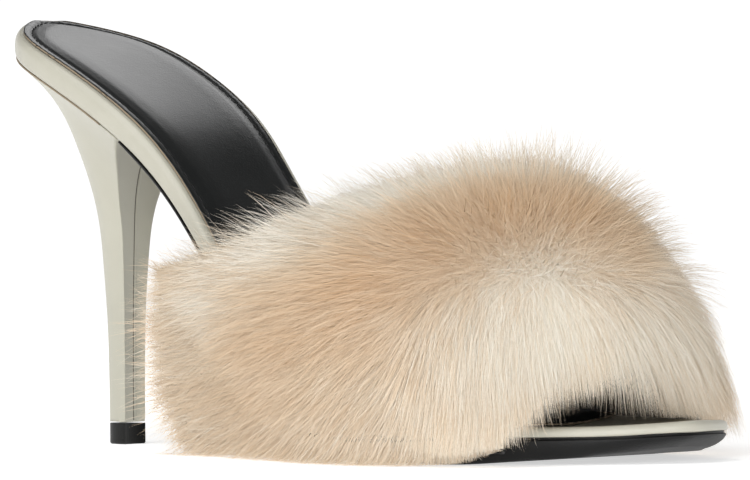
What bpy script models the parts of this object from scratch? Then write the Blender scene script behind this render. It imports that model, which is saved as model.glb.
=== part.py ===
"""Open-toe high heel: a right-foot mule with a covered stiletto heel and a deep fur band.

Metres, +Z up, +X towards the toe, +Y towards the inner (medial) side of the foot.
The origin is the centre of the heel tip's face on the floor.
"""

import bpy
import bmesh
from math import cos, pi, radians, sin, sqrt
from mathutils import Vector

# Overall form of the last, seen from above and from the side
PLAN_LENGTH = 0.2143       # rear of the seat to the end of the toe, along the floor
SEAT_HEIGHT = 0.1051       # top edge of the footbed at the rear of the seat
HEEL_SETBACK = 0.0293      # rear of the seat to the middle of the heel tip
SEAT_WIDTH = 0.0490
WAIST_WIDTH = 0.0417
BALL_WIDTH = 0.0734
INSTEP_RISE = 0.0460       # inside height of the band above the footbed, at its throat
LAST_OVERHANG = 0.0065     # how far the foot swells out past the waist of the sole
RIDGE_SHIFT = 0.0040       # top line of the foot, moved towards its inner side
SEAT_CUP = 0.0010          # hollow of the footbed under the middle of the foot

# Footbed, insock and outsole, measured square to their surface
FOOTBED_SEAT = 0.0056
FOOTBED_WAIST = 0.0042
FOOTBED_TOE = 0.0027
OUTSOLE_WAIST = 0.0012
OUTSOLE_BALL = 0.0061
OUTSOLE_INSET = 0.0003
FOOTBED_ROLL = 0.0014      # rounding of the footbed's upper edge
SOLE_ROLL = 0.0015         # rounding of the outsole's lower edge
INSOCK_ROLL = 0.0010
TOE_UNDERCUT = 0.0045      # how much further that edge draws in at the toe
INSOCK_THICKNESS = 0.0011
INSOCK_MARGIN = 0.0021     # rim of the footbed left bare around the insock
INSOCK_END_LATERAL = 0.1900   # rear of the seat to the insock's front end, outer side
INSOCK_END_MEDIAL = 0.1640
CLEARANCE = 0.0003         # between neighbours that touch on the real shoe
EDGE_CLEARANCE = 0.0005    # between the band and the edges that it wraps

# Heel and its tip
TIP_WIDTH = 0.0068
TIP_LENGTH = 0.0080
TIP_HEIGHT = 0.0051
TIP_EDGE = 0.0003          # rounding of the tip's floor edge
BREAST_REACH = 0.0533      # rear of the seat to the front corners of the heel
BREAST_HOLLOW_SEAT = 0.0060
BREAST_HOLLOW_STEM = 0.0006
HEEL_INSET = 0.0004        # heel cover set back from the footbed's edge

# Fur band: its wall is the leather, its lining and the deep fur together
BAND_REAR_SIDE = 0.0870    # rear of the seat to the band's rear edge, at the footbed
BAND_REAR_TOP = 0.1370     # the same on top of the foot, at the throat
BAND_FRONT_SIDE = 0.1840   # rear of the seat to the band's front edge, at the footbed
BAND_FRONT_TOP = 0.1890
BAND_HEM = 0.0020          # lower end of the fur above the floor
HEM_SWEEP = 0.0080         # how far the rear edge curves forward at its lower end
FUR_CROWN = 0.0190         # wall on top of the foot
FUR_SIDE = 0.0120          # wall beside the foot
FUR_HEM = 0.0085           # wall where the fur hangs beside the sole
FUR_RIM_REAR = 0.0110      # wall at the rear edge, beside the sole
FUR_RIM_THROAT = 0.0060    # wall at the rear edge, on top of the foot
FUR_RIM_TOE = 0.0055       # wall at the toe opening
FUR_PUFF_REAR = 0.0075     # how far the fur leans out past those edges
FUR_PUFF_TOE = 0.0015

# The outline from above: lengths as shares of PLAN_LENGTH, half widths as shares of the
# width named in their row
OUTLINE = (
    # along, width followed, lateral, medial
    (0.000, SEAT_WIDTH, 0.000, 0.000),
    (0.037, SEAT_WIDTH, 0.318, 0.325),
    (0.103, SEAT_WIDTH, 0.492, 0.490),
    (0.228, SEAT_WIDTH, 0.500, 0.492),
    (0.362, WAIST_WIDTH, 0.568, 0.432),
    (0.496, BALL_WIDTH, 0.384, 0.279),
    (0.624, BALL_WIDTH, 0.480, 0.413),
    (0.721, BALL_WIDTH, 0.519, 0.481),
    (0.803, BALL_WIDTH, 0.463, 0.466),
    (0.882, BALL_WIDTH, 0.338, 0.405),
    (0.946, BALL_WIDTH, 0.190, 0.316),
    (0.978, BALL_WIDTH, 0.080, 0.250),
    (1.000, BALL_WIDTH, -0.041, 0.041),
)

# Side view of the footbed's top edge: share of the height between forefoot and seat
PROFILE = (
    # along, rise
    (0.000, 1.000),
    (0.140, 0.883),
    (0.270, 0.720),
    (0.336, 0.586),
    (0.406, 0.401),
    (0.470, 0.243),
    (0.540, 0.118),
    (0.605, 0.040),
    (0.675, 0.006),
    (0.750, 0.000),
    (0.925, 0.000),
    (1.000, 0.010),
)

# Thicknesses: shares of the length, and of the thickness named in the row
FOOTBED_SECTIONS = (
    # along, thickness followed, share
    (0.000, FOOTBED_SEAT, 1.00),
    (0.240, FOOTBED_SEAT, 1.00),
    (0.360, FOOTBED_WAIST, 1.00),
    (0.600, FOOTBED_TOE, 1.00),
    (1.000, FOOTBED_TOE, 1.00),
)
OUTSOLE_SECTIONS = (
    # along, thickness followed, share
    (0.200, OUTSOLE_WAIST, 1.00),
    (0.400, OUTSOLE_WAIST, 1.10),
    (0.540, OUTSOLE_BALL, 0.45),
    (0.605, OUTSOLE_BALL, 0.85),
    (0.650, OUTSOLE_BALL, 1.10),
    (0.790, OUTSOLE_BALL, 1.02),
    (0.855, OUTSOLE_BALL, 0.82),
    (0.915, OUTSOLE_BALL, 0.68),
    (0.960, OUTSOLE_BALL, 0.50),
    (1.000, OUTSOLE_BALL, 0.30),
)

# Edges in section: insets as shares of each piece's rounding, heights as shares of its depth
FOOTBED_LEVELS = ((0.4, 0.00), (0.0, 0.12), (0.0, 0.55), (0.3, 0.82), (1.0, 1.00))
OUTSOLE_LEVELS = ((1.0, 0.00), (0.4, 0.25), (0.1, 0.55), (0.0, 0.85), (0.1, 1.00))
INSOCK_LEVELS = ((0.4, 0.00), (0.0, 0.35), (0.2, 0.75), (1.0, 1.00))

# How the heel opens upwards: 0 is the section of the tip, 1 is the outline of the seat
HEEL_SECTIONS = (
    # height, back, side, breast
    (0.00, 0.000, 0.000, 0.000),
    (0.13, 0.008, 0.000, 0.004),
    (0.25, 0.020, 0.004, 0.010),
    (0.35, 0.045, 0.014, 0.020),
    (0.44, 0.077, 0.032, 0.035),
    (0.51, 0.099, 0.051, 0.047),
    (0.58, 0.140, 0.078, 0.062),
    (0.65, 0.212, 0.132, 0.084),
    (0.71, 0.305, 0.190, 0.125),
    (0.77, 0.417, 0.265, 0.195),
    (0.83, 0.522, 0.375, 0.300),
    (0.88, 0.625, 0.500, 0.430),
    (0.93, 0.745, 0.670, 0.620),
    (0.97, 0.880, 0.850, 0.830),
    (1.00, 1.000, 1.000, 1.000),
)
HEEL_SLANT_POWER = 5       # how late the sections tip over to the slope of the seat
HEEL_STEP_POWER = 1.5      # how much closer the sections lie towards the seat
STEM_FULLNESS = 0.8        # 1 makes the back of the stem a half ellipse, less is fuller
SEAT_BOW_POWER = 2         # how late the hollow of the breast starts, from back to breast
STEM_BOW_POWER = 4

# The foot under the band: heights as shares of INSTEP_RISE, overhangs of LAST_OVERHANG
LAST_SECTIONS = (
    # along, height, lateral overhang, medial overhang
    (0.390, 1.42, 1.00, 1.00),
    (0.467, 1.32, 0.95, 1.00),
    (0.540, 1.17, 0.80, 0.95),
    (0.640, 1.00, 0.65, 0.70),
    (0.723, 0.86, 0.60, 0.60),
    (0.793, 0.69, 0.50, 0.50),
    (0.887, 0.36, 0.25, 0.25),
)

# Depth of the band's wall round the foot, as shares of the depth named in the row
WALL_SECTIONS = (
    # share of the half section from hem to top, depth followed, lateral, medial
    (0.00, FUR_HEM, 1.00, 0.90),
    (0.28, FUR_SIDE, 1.00, 0.80),
    (0.60, FUR_SIDE, 1.12, 0.95),
    (1.00, FUR_CROWN, 1.00, 1.00),
)
WIDEST_AT = 0.30           # share of the inside height where the foot is widest
ARCH_POWER = 0.87          # 1 makes the arch an ellipse, less is squarer
HEM_PATH = 0.25            # share of each half section that hangs beside the sole
HEM_SWEEP_POWER = 4        # how low on the hem the rear edge starts to curve forward
THROAT_POWER = 0.85        # how fast the rear edge climbs forward
SETTLE_REAR = 0.42         # shares of the band's length where its wall grows to full depth
SETTLE_FRONT = 0.45
PUFF_TURN = radians(117)   # the fur leans out most where this times the depth reaches 90 degrees
PUFF_POWER = 3             # how close to the edges that lean stays
BAND_DEPTHS = (0.0, 0.3, 0.7, 1.0)

BALL_SHARE = 7 / 12        # share of the outline's rows at the ball
TOE_TURN = 0.80            # share of those rows where the undercut starts
BOW_LENGTH = 0.10          # share of those rows over which the outsole's rear line straightens
ROWS_PER_SPAN = 4
SLAB_COLUMNS = 6
HEEL_ROWS = 14
HEEL_COLUMNS = 8
BAND_STATIONS = 16
BAND_PATH_STEPS = 40
SHARP_ANGLE = radians(40)
WELD_DISTANCE = 0.000001

CREAM = (0.68, 0.65, 0.55)
INSOCK_BLACK = (0.02, 0.02, 0.02)
SOLE_BLACK = (0.025, 0.025, 0.027)
TIP_BLACK = (0.015, 0.015, 0.016)
FUR_CREAM = (0.78, 0.72, 0.62)
LEATHER_ROUGHNESS = 0.32
INSOCK_ROUGHNESS = 0.42
SOLE_ROUGHNESS = 0.38
TIP_ROUGHNESS = 0.3
FUR_ROUGHNESS = 0.85

NUDGE = 0.0001             # step for slopes and tangents, as a share
BISECTIONS = 20

LATERAL = -1
MEDIAL = 1
FOREFOOT_STACK = FOOTBED_TOE + OUTSOLE_BALL
TIP_BREAST = TIP_LENGTH / 2


def lerp(a, b, share):
    return a + (b - a) * share


def smooth(rows, x):
    """Value at x of the smooth curve through the rows, whose first column is x."""
    x = min(max(x, rows[0][0]), rows[-1][0])
    last = len(rows) - 1
    i = next(k for k in range(last) if x <= rows[k + 1][0])

    def slope(k):
        low, high = rows[max(k - 1, 0)], rows[min(k + 1, last)]
        return (high[1] - low[1]) / (high[0] - low[0])

    span = rows[i + 1][0] - rows[i][0]
    t = (x - rows[i][0]) / span
    start = rows[i][1] * (1 + 2 * t) * (1 - t) ** 2 + slope(i) * span * t * (1 - t) ** 2
    end = rows[i + 1][1] * t * t * (3 - 2 * t) + slope(i + 1) * span * t * t * (t - 1)
    return start + end


def column(rows, index):
    return [(row[0], row[index]) for row in rows]


def named(rows, index=2):
    """Rows whose second column is a size, as rows of (place, that size times a share)."""
    return [(row[0], row[1] * row[index]) for row in rows]


def station(distance):
    """The x of a place given by its distance from the rear of the seat."""
    return distance - HEEL_SETBACK


def along(x):
    """Share of the plan length at x."""
    return (x + HEEL_SETBACK) / PLAN_LENGTH


# Outline of the foot, one smooth closed curve

def outline_points(side):
    points = []
    for share, width, lateral, medial in OUTLINE:
        half = -lateral if side == LATERAL else medial
        points.append(Vector((station(share * PLAN_LENGTH), half * width)))
    return points


def edge_rows(side):
    """Knots with x, and knots with y, along one side and one point past each of its ends."""
    own, other = outline_points(side), outline_points(-side)
    points = [other[1]] + own + [other[-2]]
    knots = [0.0]
    for a, b in zip(points, points[1:]):
        knots.append(knots[-1] + sqrt((b - a).length))
    x_rows = [(knot, point.x) for knot, point in zip(knots, points)]
    y_rows = [(knot, point.y) for knot, point in zip(knots, points)]
    return x_rows, y_rows


EDGES = {side: edge_rows(side) for side in (LATERAL, MEDIAL)}
SPANS = len(OUTLINE) - 1


def edge_point(side, u, inset=0.0):
    """Point of the outline at share u of its rows, moved inwards by the inset."""
    x_rows, y_rows = EDGES[side]
    span = min(int(u * SPANS), SPANS - 1)
    knot = lerp(x_rows[span + 1][0], x_rows[span + 2][0], u * SPANS - span)
    reach = NUDGE * (x_rows[-1][0] - x_rows[0][0])
    tangent = Vector((smooth(x_rows, knot + reach) - smooth(x_rows, knot - reach),
                      smooth(y_rows, knot + reach) - smooth(y_rows, knot - reach)))
    inward = Vector((-tangent.y, tangent.x)).normalized() * -side
    return Vector((smooth(x_rows, knot), smooth(y_rows, knot))) + inward * inset


def share_at(side, x, inset=0.0):
    """The share u at which the inset outline reaches x."""
    low, high = 0.0, 1.0
    for _ in range(BISECTIONS):
        middle = (low + high) / 2
        if edge_point(side, middle, inset).x < x:
            low = middle
        else:
            high = middle
    return low


def edge_y(side, x, inset=0.0):
    return edge_point(side, share_at(side, x, inset), inset).y


# Heights along the shoe

def footbed_edge(x):
    """Height of the footbed's top edge."""
    return lerp(FOREFOOT_STACK, SEAT_HEIGHT, smooth(PROFILE, along(x)))


def upright(x, thickness):
    """Height taken up by a thickness that is square to the footbed."""
    reach = NUDGE * PLAN_LENGTH
    slope = (footbed_edge(x + reach) - footbed_edge(x - reach)) / (2 * reach)
    return thickness * sqrt(1 + slope * slope)


def footbed_top(x, dip):
    """Height at x; dip is 0 at the edges and 1 in the middle of a wide row."""
    return footbed_edge(x) - SEAT_CUP * dip


def footbed_bottom(x, dip=0.0):
    return footbed_edge(x) - upright(x, smooth(named(FOOTBED_SECTIONS), along(x)))


def outsole_top(x, dip=0.0):
    return footbed_bottom(x) - upright(x, CLEARANCE)


def outsole_bottom(x, dip=0.0):
    """The underside, cut flat where it would reach below the floor."""
    thickness = upright(x, smooth(named(OUTSOLE_SECTIONS), along(x)))
    return max(outsole_top(x) - thickness, 0.0)


def insock_bottom(x, dip):
    return footbed_top(x, dip) + upright(x, CLEARANCE)


def insock_top(x, dip):
    return insock_bottom(x, dip) + upright(x, INSOCK_THICKNESS)


# Solids made of grids: two whole grids as caps, and the rims of those between them

def rim(grid):
    """The points round the edge of a grid of rows."""
    right = [row[-1] for row in grid[1:-1]]
    left = [row[0] for row in reversed(grid[1:-1])]
    return grid[0] + right + grid[-1][::-1] + left


def colour_material(name, colour, roughness):
    material = bpy.data.materials.new(name)
    material.use_nodes = True
    shader = material.node_tree.nodes["Principled BSDF"]
    shader.inputs["Base Color"].default_value = (*colour, 1.0)
    shader.inputs["Roughness"].default_value = roughness
    shader.inputs["Metallic"].default_value = 0.0
    return material


def finish_object(name, bm, material, collection):
    bmesh.ops.remove_doubles(bm, verts=bm.verts, dist=WELD_DISTANCE)
    bmesh.ops.dissolve_degenerate(bm, edges=bm.edges, dist=WELD_DISTANCE)
    bmesh.ops.recalc_face_normals(bm, faces=bm.faces)
    mesh = bpy.data.meshes.new(name)
    bm.to_mesh(mesh)
    bm.free()
    mesh.shade_smooth()
    mesh.set_sharp_from_angle(angle=SHARP_ANGLE)
    mesh.materials.append(material)
    piece = bpy.data.objects.new(name, mesh)
    collection.objects.link(piece)
    return piece


def stack(name, grids, material, collection):
    """Closed solid through a list of like grids of points, from its lowest to its highest."""
    bm = bmesh.new()
    rims = []
    for level, grid in enumerate(grids):
        if level in (0, len(grids) - 1):
            corners = [[bm.verts.new(point) for point in row] for row in grid]
            for row, following in zip(corners, corners[1:]):
                for j in range(len(row) - 1):
                    bm.faces.new((row[j], row[j + 1], following[j + 1], following[j]))
            rims.append(rim(corners))
        else:
            rims.append([bm.verts.new(point) for point in rim(grid)])
    for lower, upper in zip(rims, rims[1:]):
        for k in range(len(lower)):
            k_next = (k + 1) % len(lower)
            bm.faces.new((lower[k], lower[k_next], upper[k_next], upper[k]))
    return finish_object(name, bm, material, collection)


def cross_row(left, right, columns, bow=0.0):
    """Points from left to right as (x, y, dip), the middle ones set back by the bow."""
    fullness = min((right - left).length / WAIST_WIDTH, 1.0)
    row = []
    for j in range(columns + 1):
        share = j / columns
        middle = 4 * share * (1 - share)
        point = left.lerp(right, share)
        row.append((point.x - bow * middle, point.y, middle * fullness))
    return row


def row_shares(starts, ends):
    """Shares of the outline for each row of a slab, as pairs for its lateral and medial side.

    As far as the ball the rows of all slabs lie on the same lines, so that their facets match.
    """
    rows = SPANS * ROWS_PER_SPAN
    common = [k / rows for k in range(rows + 1) if max(starts) < k / rows <= BALL_SHARE]
    forward = round((max(ends) - common[-1]) * rows)
    pairs = [tuple(starts)] + [(line, line) for line in common]
    for k in range(1, forward + 1):
        pairs.append(tuple(lerp(common[-1], end, k / forward) for end in ends))
    return pairs


def outline_plan(inset, starts, ends, start_bow=0.0, undercut=0.0):
    """Plan rows between two pairs of shares; the undercut adds to the inset at the toe."""
    plan = []
    for pair in row_shares(starts, ends):
        toe_share = max(pair[0] - TOE_TURN, 0.0) / (1 - TOE_TURN)
        start_share = 1 - min((pair[0] - starts[0]) / BOW_LENGTH, 1.0)
        left, right = (edge_point(side, share, inset + undercut * toe_share)
                       for side, share in zip((LATERAL, MEDIAL), pair))
        bow = start_bow * start_share ** SEAT_BOW_POWER
        plan.append(cross_row(left, right, SLAB_COLUMNS, bow))
    return plan


def raised(plan, height):
    """The plan rows as points, at the height that a function gives for x and the dip."""
    return [[Vector((x, y, height(x, dip))) for x, y, dip in row] for row in plan]


def slab(name, levels, plan_at, bottom, top, material, collection):
    """Slab between two height functions, whose plan follows the share of its rounding."""
    grids = []
    for roll, share in levels:
        grids.append(raised(plan_at(roll),
                            lambda x, dip: lerp(bottom(x, dip), top(x, dip), share)))
    return stack(name, grids, material, collection)


def make_footbed(collection):
    def plan_at(roll):
        return outline_plan(FOOTBED_ROLL * roll, (0, 0), (1, 1))

    material = colour_material("cream_leather", CREAM, LEATHER_ROUGHNESS)
    return slab("footbed", FOOTBED_LEVELS, plan_at, footbed_bottom, footbed_top, material,
                collection)


def make_insock(collection):
    ends = (share_at(LATERAL, station(INSOCK_END_LATERAL)),
            share_at(MEDIAL, station(INSOCK_END_MEDIAL)))

    def plan_at(roll):
        return outline_plan(INSOCK_MARGIN + INSOCK_ROLL * roll, (0, 0), ends)

    material = colour_material("black_insock_leather", INSOCK_BLACK, INSOCK_ROUGHNESS)
    return slab("insock", INSOCK_LEVELS, plan_at, insock_bottom, insock_top, material, collection)


def make_outsole(collection):
    def plan_at(roll):
        inset = OUTSOLE_INSET + SOLE_ROLL * roll
        rear = station(BREAST_REACH + CLEARANCE + SOLE_ROLL * roll)
        starts = (share_at(LATERAL, rear, inset), share_at(MEDIAL, rear, inset))
        return outline_plan(inset, starts, (1, 1), BREAST_HOLLOW_SEAT, TOE_UNDERCUT * roll)

    material = colour_material("black_sole_leather", SOLE_BLACK, SOLE_ROUGHNESS)
    return slab("outsole", OUTSOLE_LEVELS, plan_at, outsole_bottom, outsole_top, material,
                collection)


# Heel: every section is a grid with the same rows, from its back to its breast

def stem_plan(inset=0.0):
    """The D-shaped section of the heel tip."""
    plan = []
    for k in range(HEEL_ROWS + 1):
        angle = k / HEEL_ROWS * pi / 2
        x = lerp(TIP_BREAST - TIP_LENGTH + inset, TIP_BREAST - inset, 1 - cos(angle))
        half = (TIP_WIDTH / 2 - inset) * sin(angle) ** STEM_FULLNESS
        bow = BREAST_HOLLOW_STEM * (k / HEEL_ROWS) ** STEM_BOW_POWER
        plan.append(cross_row(Vector((x, -half)), Vector((x, half)), HEEL_COLUMNS, bow))
    return plan


def seat_plan():
    """The section of the heel right under the seat."""
    ends = [share_at(side, station(BREAST_REACH), HEEL_INSET) for side in (LATERAL, MEDIAL)]
    plan = []
    for k in range(HEEL_ROWS + 1):
        left, right = (edge_point(side, end * k / HEEL_ROWS, HEEL_INSET)
                       for side, end in zip((LATERAL, MEDIAL), ends))
        bow = BREAST_HOLLOW_SEAT * (k / HEEL_ROWS) ** SEAT_BOW_POWER
        plan.append(cross_row(left, right, HEEL_COLUMNS, bow))
    return plan


def heel_grid(height, back, side, breast):
    """Section at a share of the heel's height, opened by the three shares."""
    base = TIP_HEIGHT + CLEARANCE
    middle = footbed_bottom(station(BREAST_REACH / 2))
    grid = []
    for k, (stem_row, seat_row) in enumerate(zip(stem_plan(), seat_plan())):
        forward = lerp(back, breast, k / HEEL_ROWS)
        row = []
        for stem, seat in zip(stem_row, seat_row):
            under = outsole_top(seat[0])
            z = lerp(base, middle, height) + (under - middle) * height ** HEEL_SLANT_POWER
            row.append(Vector((lerp(stem[0], seat[0], forward), lerp(stem[1], seat[1], side), z)))
        grid.append(row)
    return grid


def make_heel(collection):
    steps = 2 * (len(HEEL_SECTIONS) - 1)
    low, high = HEEL_SECTIONS[0][0], HEEL_SECTIONS[-1][0]
    grids = []
    for step in range(steps + 1):
        height = lerp(low, high, 1 - (1 - step / steps) ** HEEL_STEP_POWER)
        shares = [smooth(column(HEEL_SECTIONS, index), height) for index in (1, 2, 3)]
        grids.append(heel_grid(height, *shares))
    material = colour_material("cream_heel_cover", CREAM, LEATHER_ROUGHNESS)
    return stack("heel", grids, material, collection)


def make_heel_tip(collection):
    levels = ((TIP_EDGE, 0.0), (0.0, TIP_EDGE), (0.0, TIP_HEIGHT))
    grids = [raised(stem_plan(inset), lambda x, dip: z) for inset, z in levels]
    material = colour_material("black_top_piece", TIP_BLACK, TIP_ROUGHNESS)
    return stack("heel_tip", grids, material, collection)


# Fur band: sections over the last, each from its lateral hem over the foot to the medial hem

def arch(q):
    """Rise, swell and width as shares, at share q of the way from the footbed to the top."""
    if q < WIDEST_AT:
        return q, sin(q / WIDEST_AT * pi / 2), 1.0
    angle = (q - WIDEST_AT) / (1 - WIDEST_AT) * pi / 2
    return lerp(WIDEST_AT, 1.0, sin(angle) ** ARCH_POWER), 1.0, cos(angle) ** ARCH_POWER


def inner_point(s, path):
    """Point of the band's inner face: s runs from rear to front, path round the foot."""
    side, overhang_column = (LATERAL, 2) if path < 0.5 else (MEDIAL, 3)
    half_path = 1 - abs(2 * path - 1)
    hem = min(half_path / HEM_PATH, 1.0)
    rise, swell, width = arch(max(half_path - HEM_PATH, 0.0) / (1 - HEM_PATH))
    rear = lerp(BAND_REAR_SIDE, BAND_REAR_TOP, rise ** THROAT_POWER)
    rear += HEM_SWEEP * (1 - hem) ** HEM_SWEEP_POWER
    front = lerp(BAND_FRONT_SIDE, BAND_FRONT_TOP, rise)
    x = station(lerp(rear, front, s))
    edge = edge_y(side, x, -EDGE_CLEARANCE)
    overhang = LAST_OVERHANG * smooth(column(LAST_SECTIONS, overhang_column), along(x))
    y = lerp(RIDGE_SHIFT, edge + side * overhang * swell, width)
    height = INSTEP_RISE * smooth(column(LAST_SECTIONS, 1), along(x))
    return Vector((x, y, lerp(BAND_HEM, footbed_edge(x), hem) + rise * height))


def outward(s, path):
    """Direction square to the inner face, away from the foot."""
    s_low, s_high = max(s - NUDGE, 0.0), min(s + NUDGE, 1.0)
    path_low, path_high = max(path - NUDGE, 0.0), min(path + NUDGE, 1.0)
    forward = inner_point(s_high, path) - inner_point(s_low, path)
    round_foot = inner_point(s, path_high) - inner_point(s, path_low)
    return forward.cross(round_foot).normalized()


def wall(s, path):
    """Depth of leather, lining and fur."""
    half_path = 1 - abs(2 * path - 1)
    full = smooth(named(WALL_SECTIONS, 2 if path < 0.5 else 3), half_path)
    rim_depth = lerp(lerp(FUR_RIM_REAR, FUR_RIM_THROAT, half_path), FUR_RIM_TOE, s)
    rear_growth = min(s / SETTLE_REAR, 1.0)
    front_growth = min((1 - s) / SETTLE_FRONT, 1.0)
    growth = sqrt(1 - (1 - rear_growth) ** 2) * sqrt(1 - (1 - front_growth) ** 2)
    return lerp(min(rim_depth, full), full, growth)


def through_wall(s, path):
    """Points of the band from its inner face to its outer face, at each of BAND_DEPTHS."""
    inner = inner_point(s, path)
    reach = outward(s, path) * wall(s, path)
    lean = lerp(-FUR_PUFF_REAR, FUR_PUFF_TOE, s) * abs(2 * s - 1) ** PUFF_POWER
    points = []
    for depth in BAND_DEPTHS:
        point = inner + reach * depth
        point.x += lean * sin(depth * PUFF_TURN)
        point.z = max(point.z, BAND_HEM)
        points.append(point)
    return points


def make_upper_band(collection):
    grids = [[] for _ in BAND_DEPTHS]
    for k in range(BAND_STATIONS + 1):
        s = (1 - cos(pi * k / BAND_STATIONS)) / 2
        section = [through_wall(s, j / BAND_PATH_STEPS) for j in range(BAND_PATH_STEPS + 1)]
        for grid, row in zip(grids, zip(*section)):
            grid.append(list(row))
    material = colour_material("cream_fur", FUR_CREAM, FUR_ROUGHNESS)
    return stack("upper_band", grids, material, collection)


def clear_scene():
    for item in list(bpy.data.objects):
        bpy.data.objects.remove(item, do_unlink=True)


def main():
    clear_scene()
    collection = bpy.data.collections.new("open_toe_heel")
    bpy.context.scene.collection.children.link(collection)
    for make in (make_outsole, make_footbed, make_insock, make_upper_band, make_heel,
                 make_heel_tip):
        make(collection)


main()
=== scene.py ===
"""Looks of the open-toe high heel: leather, stitches, seams and deep fur around the CAD frame.

Metres, +Z up, +X towards the toe, +Y towards the inner side of the foot.
"""

from math import cos, pi, radians, sin
import bmesh
import bpy
import numpy as np
from mathutils import Matrix, Vector
from mathutils.bvhtree import BVHTree
from mathutils.kdtree import KDTree

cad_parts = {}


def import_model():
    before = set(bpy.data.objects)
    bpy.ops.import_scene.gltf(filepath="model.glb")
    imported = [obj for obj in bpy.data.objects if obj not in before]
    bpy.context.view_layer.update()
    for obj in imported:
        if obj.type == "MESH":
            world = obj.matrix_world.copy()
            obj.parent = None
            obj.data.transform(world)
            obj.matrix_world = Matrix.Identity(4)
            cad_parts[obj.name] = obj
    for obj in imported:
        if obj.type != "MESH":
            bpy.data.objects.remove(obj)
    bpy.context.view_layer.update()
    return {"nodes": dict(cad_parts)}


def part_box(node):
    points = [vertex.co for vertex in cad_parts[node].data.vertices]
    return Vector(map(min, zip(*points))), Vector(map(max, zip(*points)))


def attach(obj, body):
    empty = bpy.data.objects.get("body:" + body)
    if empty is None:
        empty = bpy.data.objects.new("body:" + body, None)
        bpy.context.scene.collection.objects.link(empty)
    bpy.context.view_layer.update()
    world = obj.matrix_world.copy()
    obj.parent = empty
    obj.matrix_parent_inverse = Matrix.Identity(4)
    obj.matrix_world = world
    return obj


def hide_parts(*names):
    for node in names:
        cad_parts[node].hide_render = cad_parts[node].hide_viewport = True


# Camera, fitted to the photograph
CAMERA_AZIMUTH = radians(44.726)
CAMERA_ELEVATION = radians(0.778)
CAMERA_ROLL = radians(0.485)
CAMERA_DISTANCE = 1.3994
CAMERA_TARGET = Vector((0.0807, 0.0, 0.045))
CAMERA_AIM_RIGHT = 0.00439
CAMERA_AIM_UP = 0.00504
CAMERA_LENS = 284.82
SENSOR_WIDTH = 36.0

# Light: a bright horizon, a dark ceiling and three soft boxes
HORIZON_TONE = 1.06
SKY_TONES = ((0.0, 1.0), (0.15, 1.0), (0.38, 0.33), (0.62, 0.06))    # sine of elevation, tone
KEY_PLACE = (0.12, -0.9, 1.20)
KEY_SIZE = 1.4
KEY_POWER = 14.0
FILL_PLACE = (1.12, -0.86, 0.22)
FILL_SIZE = 0.8
FILL_POWER = 10.0
BACK_PLACE = (-0.57, 0.90, 0.80)
BACK_SIZE = 0.5
BACK_POWER = 1.3
FLOOR_SIZE = 2.4
FLOOR_TONE = 0.80
FLOOR_MIDDLE = (0.08, 0.0, 0.0)
FLOOR_REACH = (0.12, 0.36)         # the floor's own glow rises from the first radius to the second
FLOOR_GLOW = (0.58, 0.86)

# Insock: its stitched rim and its padded middle
INSOCK_ROWS = 300
INSOCK_COLUMNS = 76
OUTLINE_STEP = 0.0004
OUTLINE_SOFTNESS = 6       # steps
INSOCK_THICKNESS = 0.0011
INSOCK_EDGE_ROUND = 0.0004
INSOCK_EDGE_DROP = 0.0002
INSOCK_TRIM = 0.0008        # how much further in it lies on the inner side
INSOCK_SINK = 0.00090      # how much thinner its rim is than its padded middle
INSOCK_SINK_OUTER = 0.60   # share of that on the outer side
INSOCK_SINK_REACH = 0.006
OUTWARD_SMOOTHING = 40     # passes
INSOCK_SURE = 0.0014       # closest to its edge that the CAD piece is measured
STITCH_INSET = 0.0021
STITCH_LENGTH = 0.0017
STITCH_PITCH = 0.0026
STITCH_WIDTH = 0.00036
GROOVE_DEPTH = 0.00040
GROOVE_WIDTH = 0.00050
PAD_RISE = 0.0004
PAD_REACH = 0.0080
PUCKER_DEPTH = 0.00005
HEIGHT_SMOOTHING = 12      # passes

# Lines and seams of the leather
SEAM_WIDTH = 0.00035
SEAM_DEPTH = 0.00012
BREAST_SEAM_STEP = 0.0015
TOE_LINE_START = 0.140
TOE_LINE_INSET = 0.0008

# Fur
PARTING_X = 0.1660
PARTING_ANGLE = radians(-32)
FOOT_MIDDLE = (0.002, 0.012)       # y and z of the line that the fur lies round
FOOT_RADIUS = 0.040
PARTING_SOFTNESS = 0.025
PARTING_DENSITY = 2.6
FRINGE_DENSITY = 1.6
PELT_DEPTH = 0.0020
PELT_DEPTH_INNER = 0.0020          # more on the inner side of the toe
PELT_DEPTH_THROAT = 0.0012         # more along the throat
FLOW_SPREAD = 0.18
LIP_END_LATERAL = 0.0102           # height where the hair over the toe opening ends
LIP_END_MEDIAL = 0.0015
PATCHES = 0.22                     # how much tufts vary in length
PATCH_WAVES = (700.0, 1150.0, 1900.0)
TONE_STREAKS = 0.22                # how much tufts vary in tone
HAIR_SOFTNESS = 0.85               # share of the skin's own direction in the hair's shading
UNDER_PIECES = 4
UNDERFUR = {"count": 30000, "segments": 3, "length": 0.0100, "width": 0.00011,
            "lift": (0.50, 0.02), "clump": 9, "pull": 0.06, "roll": 0.35, "rim": 0.5,
            "stray": 0.0}
GUARD_PIECES = 1
GUARD_HAIR = {"count": 18000, "segments": 4, "length": 0.0150, "width": 0.00009,
              "lift": (0.85, 0.30), "clump": 4, "pull": 0.12, "roll": 0.35, "rim": 0.1,
              "stray": 0.3}
FUR_SEED = 7
FUR_TONES = [(0.0, (0.84, 0.805, 0.72)), (0.35, (0.69, 0.565, 0.42)), (1.0, (0.61, 0.41, 0.24))]
FUR_TONE = 0.36
FUR_GLOW = 0.08                    # painted glow: stands in for light that scatters through the pile
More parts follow.
